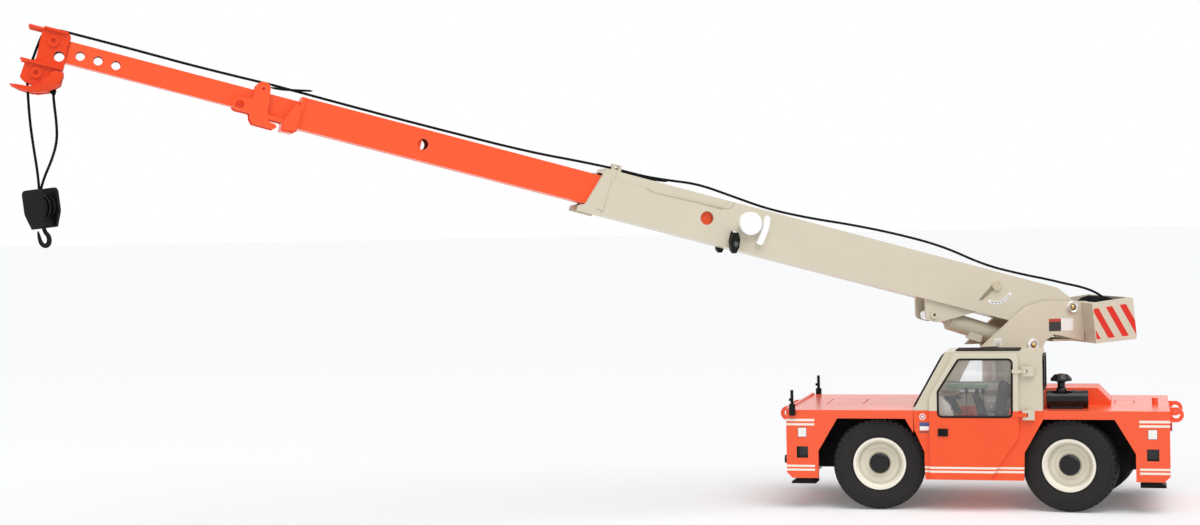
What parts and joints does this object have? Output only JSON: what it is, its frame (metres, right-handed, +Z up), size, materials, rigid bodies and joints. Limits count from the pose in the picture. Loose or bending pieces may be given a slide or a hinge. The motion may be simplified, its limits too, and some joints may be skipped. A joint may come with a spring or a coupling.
{
  "type": "scale model carry deck crane",
  "caption": "Scale model of a carry deck crane: flat chassis with axles that steer, side cab with a door, slewing turret, telescopic boom with a lift cylinder, and a hook on a line.",
  "frame": {"origin": "on the floor, under the centre of the whole model's bounding box, with the boom slewed and extended as displayed", "axes": "+Z up; +X towards the rear of the chassis, along its wheelbase; +Y towards the side opposite the cab"},
  "size_m": [0.2958, 0.1652, 0.1389],
  "materials": {
    "body_orange": "gloss orange-red paint",
    "cream_paint": "gloss cream paint",
    "black_paint": "satin black",
    "glazing": "clear",
    "roof_black": "gloss black",
    "seat_vinyl": "satin black",
    "lamp_lens": "clear lens",
    "tail_lens": "red lens",
    "white_plastic": "gloss white",
    "cylinder_steel": "polished",
    "cylinder_paint": "gloss orange-red paint",
    "line_black": "braided black thread",
    "tyre_rubber": "matt rubber",
    "rim_cream": "gloss cream paint",
    "hub_black": "gloss black"
  },
  "bodies": {
    "chassis": {"chassis_frame": "body_orange", "underframe": "black_paint", "cab_tub": "body_orange", "cab_shell": "cream_paint", "cab_roof": "cream_paint", "windshield": "glazing", "cab_panes": "glazing", "roof_light": "roof_black", "door_hinges": "cream_paint", "seat": "seat_vinyl", "console": "black_paint", "engine_hood": "body_orange", "air_cleaner": "black_paint", "deck_stakes": "black_paint", "head_lamps": "lamp_lens", "tail_lamps": "tail_lens", "pedestal": "cream_paint"},
    "front_axle": {"front_axle": "black_paint"},
    "rear_axle": {"rear_axle": "black_paint"},
    "door": {"cab_door": "body_orange", "door_glass": "glazing", "door_handle": "black_paint"},
    "turret": {"turret_frame": "cream_paint", "turret_pins": "cream_paint", "counterweight": "cream_paint", "winch_drum": "black_paint", "line_winch": "line_black"},
    "boom": {"boom_base": "cream_paint", "cable_reel": "white_plastic", "boom_lamp": "black_paint", "angle_gauge": "white_plastic", "line_base": "line_black"},
    "mid": {"boom_mid": "body_orange", "line_mid": "line_black"},
    "fly": {"boom_fly": "body_orange", "boom_head": "body_orange", "head_sheaves": "black_paint", "line_fly": "line_black"},
    "barrel": {"lift_barrel": "cylinder_paint"},
    "rod": {"lift_rod": "cylinder_steel"},
    "hook": {"hook_line": "line_black", "hook_block": "black_paint", "hook": "black_paint"},
    "front_left_wheel": {"front_left_tyre": "tyre_rubber", "front_left_rim": "rim_cream", "front_left_hub_cap": "hub_black"},
    "front_left_jack": {"jack_front_left": "black_paint"},
    "front_right_wheel": {"front_right_tyre": "tyre_rubber", "front_right_rim": "rim_cream", "front_right_hub_cap": "hub_black"},
    "front_right_jack": {"jack_front_right": "black_paint"},
    "rear_left_wheel": {"rear_left_tyre": "tyre_rubber", "rear_left_rim": "rim_cream", "rear_left_hub_cap": "hub_black"},
    "rear_left_jack": {"jack_rear_left": "black_paint"},
    "rear_right_wheel": {"rear_right_tyre": "tyre_rubber", "rear_right_rim": "rim_cream", "rear_right_hub_cap": "hub_black"},
    "rear_right_jack": {"jack_rear_right": "black_paint"}
  },
  "joints": [
    {"name": "front_steer", "type": "hinge", "parent": "chassis", "child": "front_axle", "pos_m": [0.06141, 0.0548, 0.0132], "axis": [0, 0, 1], "range_deg": [-16.8, 6.2]},
    {"name": "rear_steer", "type": "hinge", "parent": "chassis", "child": "rear_axle", "pos_m": [0.11941, 0.0548, 0.0132], "axis": [0, 0, 1], "range_deg": [-3.9, 19.1]},
    {"name": "front_left_roll", "type": "hinge", "parent": "front_axle", "child": "front_left_wheel", "pos_m": [0.06313, 0.03628, 0.0132], "axis": [-0.0924, 0.9957, 0], "continuous": true},
    {"name": "front_right_roll", "type": "hinge", "parent": "front_axle", "child": "front_right_wheel", "pos_m": [0.05969, 0.07332, 0.0132], "axis": [-0.0924, 0.9957, 0], "continuous": true},
    {"name": "rear_left_roll", "type": "hinge", "parent": "rear_axle", "child": "rear_left_wheel", "pos_m": [0.11695, 0.03636, 0.0132], "axis": [0.1323, 0.9912, 0], "continuous": true},
    {"name": "rear_right_roll", "type": "hinge", "parent": "rear_axle", "child": "rear_right_wheel", "pos_m": [0.12187, 0.07324, 0.0132], "axis": [0.1323, 0.9912, 0], "continuous": true},
    {"name": "cab_door_hinge", "type": "hinge", "parent": "chassis", "child": "door", "pos_m": [0.10461, 0.0295, 0.033], "axis": [0, 0, 1], "range_deg": [0, 75]},
    {"name": "jack_front_left_slide", "type": "slide", "parent": "chassis", "child": "front_left_jack", "axis": [0, 0, -1], "range_m": [0, 0.007]},
    {"name": "jack_front_right_slide", "type": "slide", "parent": "chassis", "child": "front_right_jack", "axis": [0, 0, -1], "range_m": [0, 0.007]},
    {"name": "jack_rear_left_slide", "type": "slide", "parent": "chassis", "child": "rear_left_jack", "axis": [0, 0, -1], "range_m": [0, 0.007]},
    {"name": "jack_rear_right_slide", "type": "slide", "parent": "chassis", "child": "rear_right_jack", "axis": [0, 0, -1], "range_m": [0, 0.007]},
    {"name": "slew", "type": "hinge", "parent": "chassis", "child": "turret", "pos_m": [0.09941, 0.0548, 0.0428], "axis": [0, 0, -1], "continuous": true},
    {"name": "boom_luff", "type": "hinge", "parent": "turret", "child": "boom", "pos_m": [0.11402, 0.06277, 0.05648], "axis": [-0.4787, 0.878, 0], "range_deg": [-8, 55], "deforming": ["line_winch"]},
    {"name": "lift_barrel_swing", "type": "hinge", "parent": "turret", "child": "barrel", "pos_m": [0.10294, 0.05672, 0.0459], "axis": [-0.4787, 0.878, 0], "range_deg": [-8.6, 57.7]},
    {"name": "lift_rod_slide", "type": "slide", "parent": "barrel", "child": "rod", "axis": [-0.8347, -0.4551, 0.3102], "range_m": [-0.0023, 0.01525]},
    {"name": "boom_mid_slide", "type": "slide", "parent": "boom", "child": "mid", "axis": [-0.8469, -0.4617, 0.2639], "range_m": [-0.075, 0], "deforming": ["line_mid"]},
    {"name": "boom_fly_slide", "type": "slide", "parent": "mid", "child": "fly", "axis": [-0.8469, -0.4617, 0.2639], "range_m": [-0.043, 0], "deforming": ["line_fly"]},
    {"name": "hook_swing", "type": "hinge", "parent": "fly", "child": "hook", "pos_m": [-0.14008, -0.07578, 0.12621], "axis": [0.4787, -0.878, 0], "range_deg": [-20, 60]}
  ],
  "couplings": [
    {"joint": "lift_barrel_swing", "follows": "boom_luff", "ratio": 1.045},
    {"joint": "lift_rod_slide", "follows": "boom_luff", "m_per_rad": 0.01578}
  ]
}
